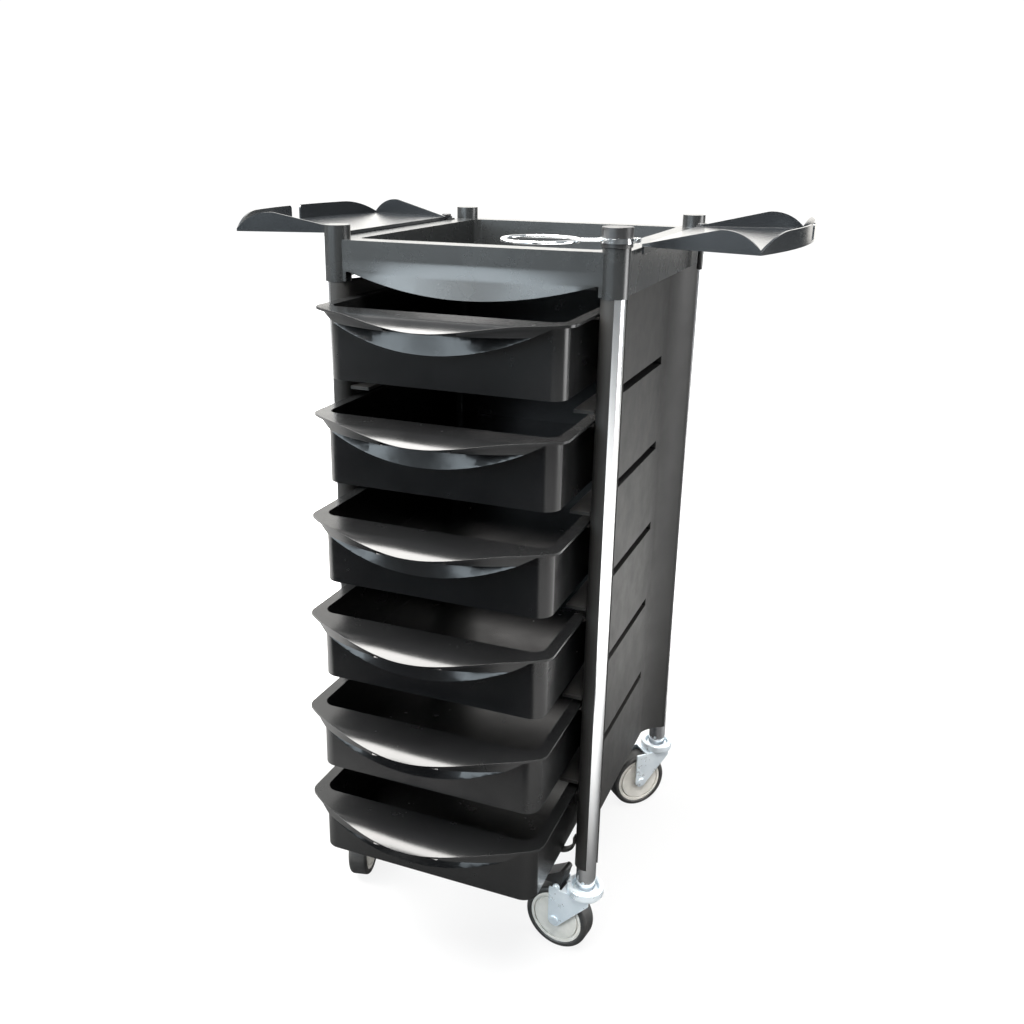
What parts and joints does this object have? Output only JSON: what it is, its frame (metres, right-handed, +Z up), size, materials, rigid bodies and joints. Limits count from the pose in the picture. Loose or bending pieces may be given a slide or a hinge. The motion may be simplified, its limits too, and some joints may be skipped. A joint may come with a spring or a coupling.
{
  "type": "spa trolley cart",
  "caption": "Upright trolley with stacked pull-out drawers, a dished top tray, two swing-out side trays and a dryer ring, on swivel castors.",
  "frame": {"origin": "floor level, under the middle of the bounding box as the trolley stands with its drawers part open", "axes": "+X to the user's right, -Y is the drawer side, +Z up"},
  "size_m": [0.6862, 0.5936, 0.926],
  "materials": {
    "tray_plastic": "glossy charcoal moulding",
    "drawer_plastic": "glossy near-black moulding",
    "panel_plastic": "satin charcoal moulding",
    "side_tray_plastic": "glossy charcoal moulding",
    "fitting_plastic": "satin black",
    "tube_chrome": "bright chromed steel tube",
    "wire_chrome": "bright chromed wire and band",
    "zinc_plate": "zinc-plated pressed steel",
    "wheel_plastic": "warm grey nylon",
    "tyre_rubber": "black rubber tread"
  },
  "bodies": {
    "frame": {"top_tray": "tray_plastic", "post_fl": "tube_chrome", "post_fr": "tube_chrome", "post_bl": "tube_chrome", "post_br": "tube_chrome", "panel_left": "panel_plastic", "panel_right": "panel_plastic", "tie_bar_front": "panel_plastic", "tie_bar_back": "panel_plastic", "stem_fl": "zinc_plate", "stem_fr": "zinc_plate", "stem_bl": "zinc_plate", "stem_br": "zinc_plate"},
    "drawer_1_body": {"drawer_1": "drawer_plastic"},
    "drawer_2_body": {"drawer_2": "drawer_plastic"},
    "drawer_3_body": {"drawer_3": "drawer_plastic"},
    "drawer_4_body": {"drawer_4": "drawer_plastic"},
    "drawer_5_body": {"drawer_5": "drawer_plastic"},
    "drawer_6_body": {"drawer_6": "drawer_plastic"},
    "side_tray_left_body": {"side_tray_left": "side_tray_plastic", "pivot_pin_left": "fitting_plastic"},
    "side_tray_right_body": {"side_tray_right": "side_tray_plastic", "pivot_pin_right": "fitting_plastic"},
    "dryer_ring_body": {"ring_hub": "fitting_plastic", "dryer_ring": "wire_chrome", "clamp_screw": "wire_chrome"},
    "castor_fl_fork": {"race_fl": "zinc_plate", "fork_fl": "zinc_plate", "axle_fl": "zinc_plate", "pedal_pin_fl": "zinc_plate"},
    "castor_fl_wheel": {"hub_fl": "wheel_plastic", "tyre_fl": "tyre_rubber"},
    "pedal_fl_body": {"pedal_fl": "fitting_plastic"},
    "castor_fr_fork": {"race_fr": "zinc_plate", "fork_fr": "zinc_plate", "axle_fr": "zinc_plate", "pedal_pin_fr": "zinc_plate"},
    "castor_fr_wheel": {"hub_fr": "wheel_plastic", "tyre_fr": "tyre_rubber"},
    "pedal_fr_body": {"pedal_fr": "fitting_plastic"},
    "castor_bl_fork": {"race_bl": "zinc_plate", "fork_bl": "zinc_plate", "axle_bl": "zinc_plate"},
    "castor_bl_wheel": {"hub_bl": "wheel_plastic", "tyre_bl": "tyre_rubber"},
    "castor_br_fork": {"race_br": "zinc_plate", "fork_br": "zinc_plate", "axle_br": "zinc_plate"},
    "castor_br_wheel": {"hub_br": "wheel_plastic", "tyre_br": "tyre_rubber"}
  },
  "joints": [
    {"name": "drawer_1_slide", "type": "slide", "parent": "frame", "child": "drawer_1_body", "axis": [0, -1, 0], "range_m": [-0.08, 0.19]},
    {"name": "drawer_2_slide", "type": "slide", "parent": "frame", "child": "drawer_2_body", "axis": [0, -1, 0], "range_m": [-0.092, 0.178]},
    {"name": "drawer_3_slide", "type": "slide", "parent": "frame", "child": "drawer_3_body", "axis": [0, -1, 0], "range_m": [-0.106, 0.164]},
    {"name": "drawer_4_slide", "type": "slide", "parent": "frame", "child": "drawer_4_body", "axis": [0, -1, 0], "range_m": [-0.118, 0.152]},
    {"name": "drawer_5_slide", "type": "slide", "parent": "frame", "child": "drawer_5_body", "axis": [0, -1, 0], "range_m": [-0.128, 0.142]},
    {"name": "drawer_6_slide", "type": "slide", "parent": "frame", "child": "drawer_6_body", "axis": [0, -1, 0], "range_m": [-0.13, 0.14]},
    {"name": "side_tray_left_swing", "type": "hinge", "parent": "frame", "child": "side_tray_left_body", "pos_m": [-0.1858, 0.24002, 0.902], "axis": [0, 0, 1], "range_deg": [-95, 0]},
    {"name": "side_tray_right_swing", "type": "hinge", "parent": "frame", "child": "side_tray_right_body", "pos_m": [0.1858, 0.24002, 0.902], "axis": [0, 0, 1], "range_deg": [0, 95]},
    {"name": "dryer_ring_swing", "type": "hinge", "parent": "frame", "child": "dryer_ring_body", "pos_m": [0.167, -0.10698, 0.912], "axis": [0, 0, 1], "range_deg": [-90, 120]},
    {"name": "castor_fl_swivel", "type": "hinge", "parent": "frame", "child": "castor_fl_fork", "pos_m": [-0.167, -0.10698, 0.092], "axis": [0, 0, 1], "continuous": true},
    {"name": "castor_fl_spin", "type": "hinge", "parent": "castor_fl_fork", "child": "castor_fl_wheel", "pos_m": [-0.17547, -0.07301, 0.044], "axis": [-0.9703, -0.2419, 0], "continuous": true},
    {"name": "pedal_fl_press", "type": "hinge", "parent": "castor_fl_fork", "child": "pedal_fl_body", "pos_m": [-0.17522, -0.07398, 0.0955], "axis": [-0.9703, -0.2419, 0], "range_deg": [0, 18]},
    {"name": "castor_fr_swivel", "type": "hinge", "parent": "frame", "child": "castor_fr_fork", "pos_m": [0.167, -0.10698, 0.092], "axis": [0, 0, 1], "continuous": true},
    {"name": "castor_fr_spin", "type": "hinge", "parent": "castor_fr_fork", "child": "castor_fr_wheel", "pos_m": [0.13243, -0.1015, 0.044], "axis": [-0.1564, -0.9877, 0], "continuous": true},
    {"name": "pedal_fr_press", "type": "hinge", "parent": "castor_fr_fork", "child": "pedal_fr_body", "pos_m": [0.13342, -0.10166, 0.0955], "axis": [-0.1564, -0.9877, 0], "range_deg": [0, 18]},
    {"name": "castor_bl_swivel", "type": "hinge", "parent": "frame", "child": "castor_bl_fork", "pos_m": [-0.167, 0.27303, 0.092], "axis": [0, 0, 1], "continuous": true},
    {"name": "castor_bl_spin", "type": "hinge", "parent": "castor_bl_fork", "child": "castor_bl_wheel", "pos_m": [-0.19989, 0.26105, 0.044], "axis": [0.342, -0.9397, 0], "continuous": true},
    {"name": "castor_br_swivel", "type": "hinge", "parent": "frame", "child": "castor_br_fork", "pos_m": [0.167, 0.27303, 0.092], "axis": [0, 0, 1], "continuous": true},
    {"name": "castor_br_spin", "type": "hinge", "parent": "castor_br_fork", "child": "castor_br_wheel", "pos_m": [0.14225, 0.24828, 0.044], "axis": [0.7071, -0.7071, 0], "continuous": true}
  ]
}
